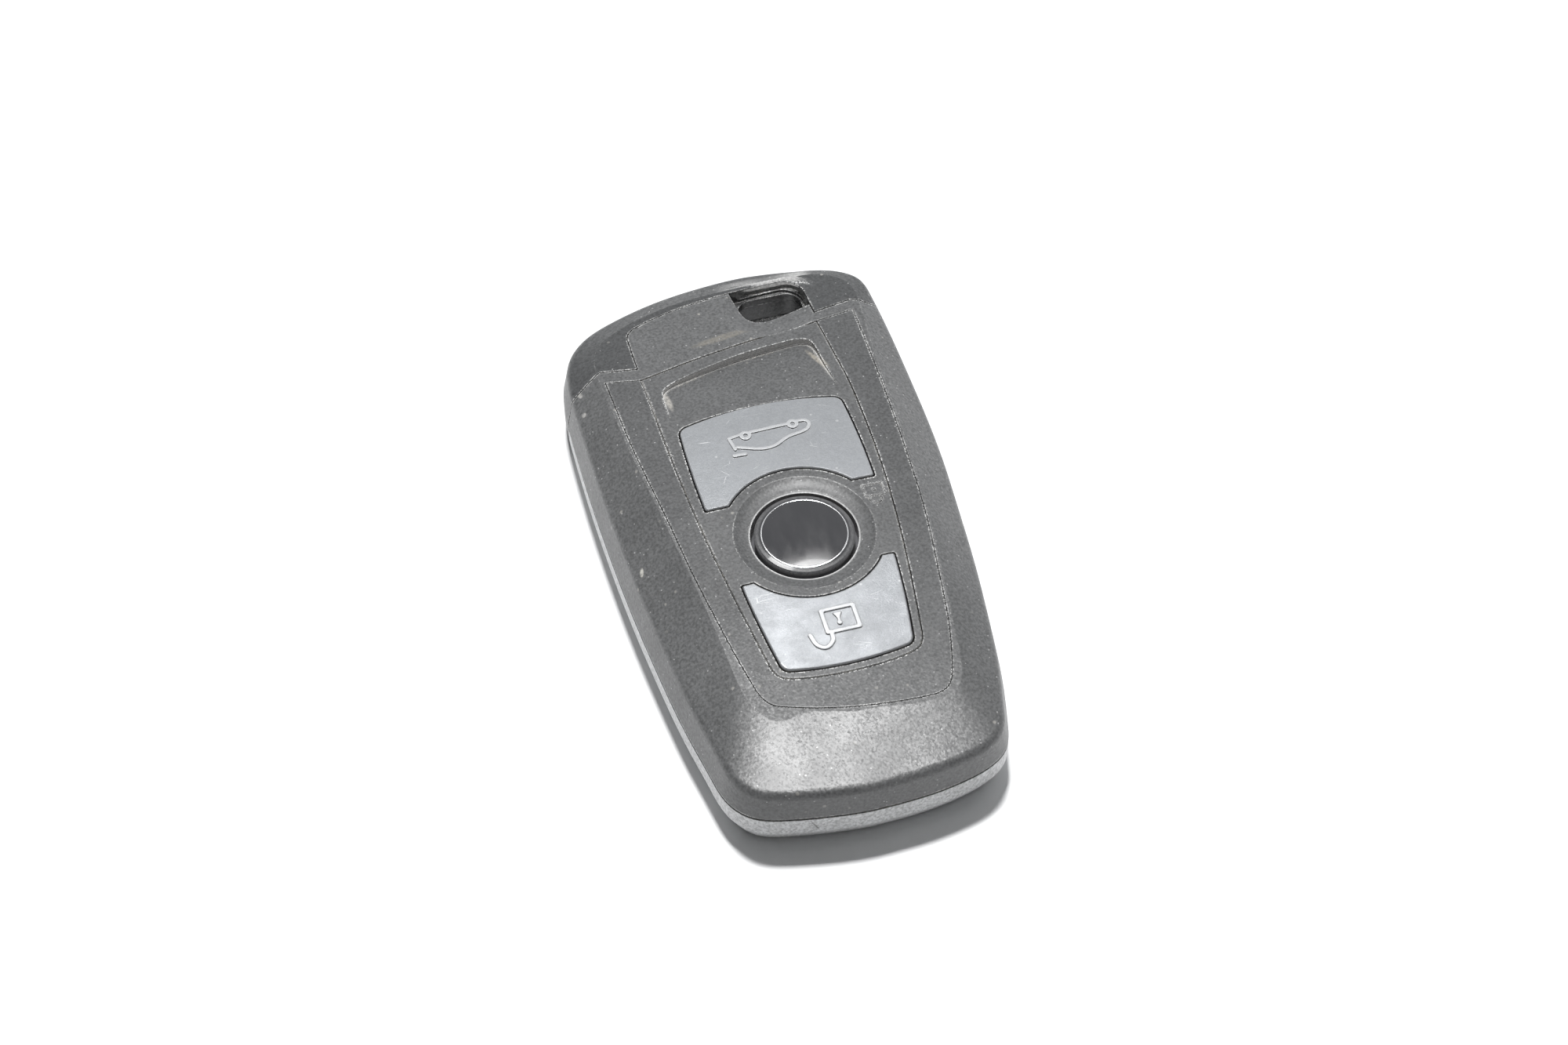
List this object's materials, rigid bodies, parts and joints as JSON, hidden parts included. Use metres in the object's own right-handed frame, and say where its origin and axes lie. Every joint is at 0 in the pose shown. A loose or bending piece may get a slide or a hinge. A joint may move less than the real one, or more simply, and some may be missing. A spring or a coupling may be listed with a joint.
{
  "type": "car key fob",
  "caption": "Slim car key fob with round middle button, two silver push buttons, arched key-ring head that draws out a blade key, and a coin cell under a back cover.",
  "frame": {"origin": "centre of the bounding box, on the plane that the back rests on", "axes": "+Y along the fob towards the key-ring end, +Z out of the front face, +X across"},
  "size_m": [0.0426, 0.0799, 0.0135],
  "materials": {
    "body_plastic": "fine bead-blast grain",
    "rear_plastic": "fine bead-blast grain, paler than the front",
    "trim_plastic": "fine bead-blast grain",
    "silver_paint": "satin silver paint over plastic",
    "gloss_black": "high gloss, slightly domed",
    "bright_ring": "polished",
    "inner_plastic": "satin",
    "cover_plastic": "fine grain",
    "rubber": "matt",
    "cell_steel": "satin",
    "board": "solder resist",
    "switch_metal": "satin",
    "ferrite": "matt ceramic",
    "copper": "enamelled wire",
    "chip_black": "moulded epoxy",
    "ceramic": "ceramic",
    "spring_metal": "plated",
    "blade_steel": "brushed"
  },
  "bodies": {
    "body": {"front_shell": "body_plastic", "rear_shell": "rear_plastic", "shell_gasket": "rubber", "trim_insert": "trim_plastic", "keypad_frame": "trim_plastic", "key_mat": "rubber", "circuit_board": "board", "tact_switches": "switch_metal", "antenna_core": "ferrite", "antenna_winding": "copper", "micro_chip": "chip_black", "radio_chip": "chip_black", "crystal_can": "switch_metal", "chip_capacitors": "ceramic", "contact_negative": "spring_metal", "contact_positive": "spring_metal"},
    "trunk": {"trunk_button": "silver_paint"},
    "unlock": {"unlock_button": "silver_paint"},
    "lock": {"lock_button": "inner_plastic", "lock_lens": "gloss_black", "lens_ring": "bright_ring"},
    "release": {"release_button": "inner_plastic"},
    "head": {"key_head": "body_plastic", "key_blade": "blade_steel", "blade_pin": "blade_steel"},
    "cover": {"battery_cover": "cover_plastic", "cover_seal": "rubber"},
    "battery": {"battery_can": "cell_steel", "battery_gasket": "inner_plastic", "battery_cap": "cell_steel"}
  },
  "joints": [
    {"name": "trunk_press", "type": "slide", "parent": "body", "child": "trunk", "axis": [0, 0, -1], "range_m": [0, 0.00045], "stiffness_N_per_m": 600, "springref_m": -0.0005},
    {"name": "unlock_press", "type": "slide", "parent": "body", "child": "unlock", "axis": [0, 0, -1], "range_m": [0, 0.00045], "stiffness_N_per_m": 600, "springref_m": -0.0005},
    {"name": "lock_press", "type": "slide", "parent": "body", "child": "lock", "axis": [0, 0, -1], "range_m": [0, 0.00045], "stiffness_N_per_m": 600, "springref_m": -0.0005},
    {"name": "release_press", "type": "slide", "parent": "body", "child": "release", "axis": [0, 0, 1], "range_m": [0, 0.0007], "stiffness_N_per_m": 400, "springref_m": -0.0005},
    {"name": "head_slide", "type": "slide", "parent": "body", "child": "head", "axis": [0, 1, 0], "range_m": [0, 0.066]},
    {"name": "cover_off", "type": "slide", "parent": "body", "child": "cover", "axis": [0, 0, -1], "range_m": [0, 0.02]},
    {"name": "battery_out", "type": "slide", "parent": "body", "child": "battery", "axis": [0, 0, -1], "range_m": [0, 0.01]}
  ],
  "couplings": [
    {"joint": "battery_out", "follows": "cover_off", "ratio": 0.5}
  ]
}
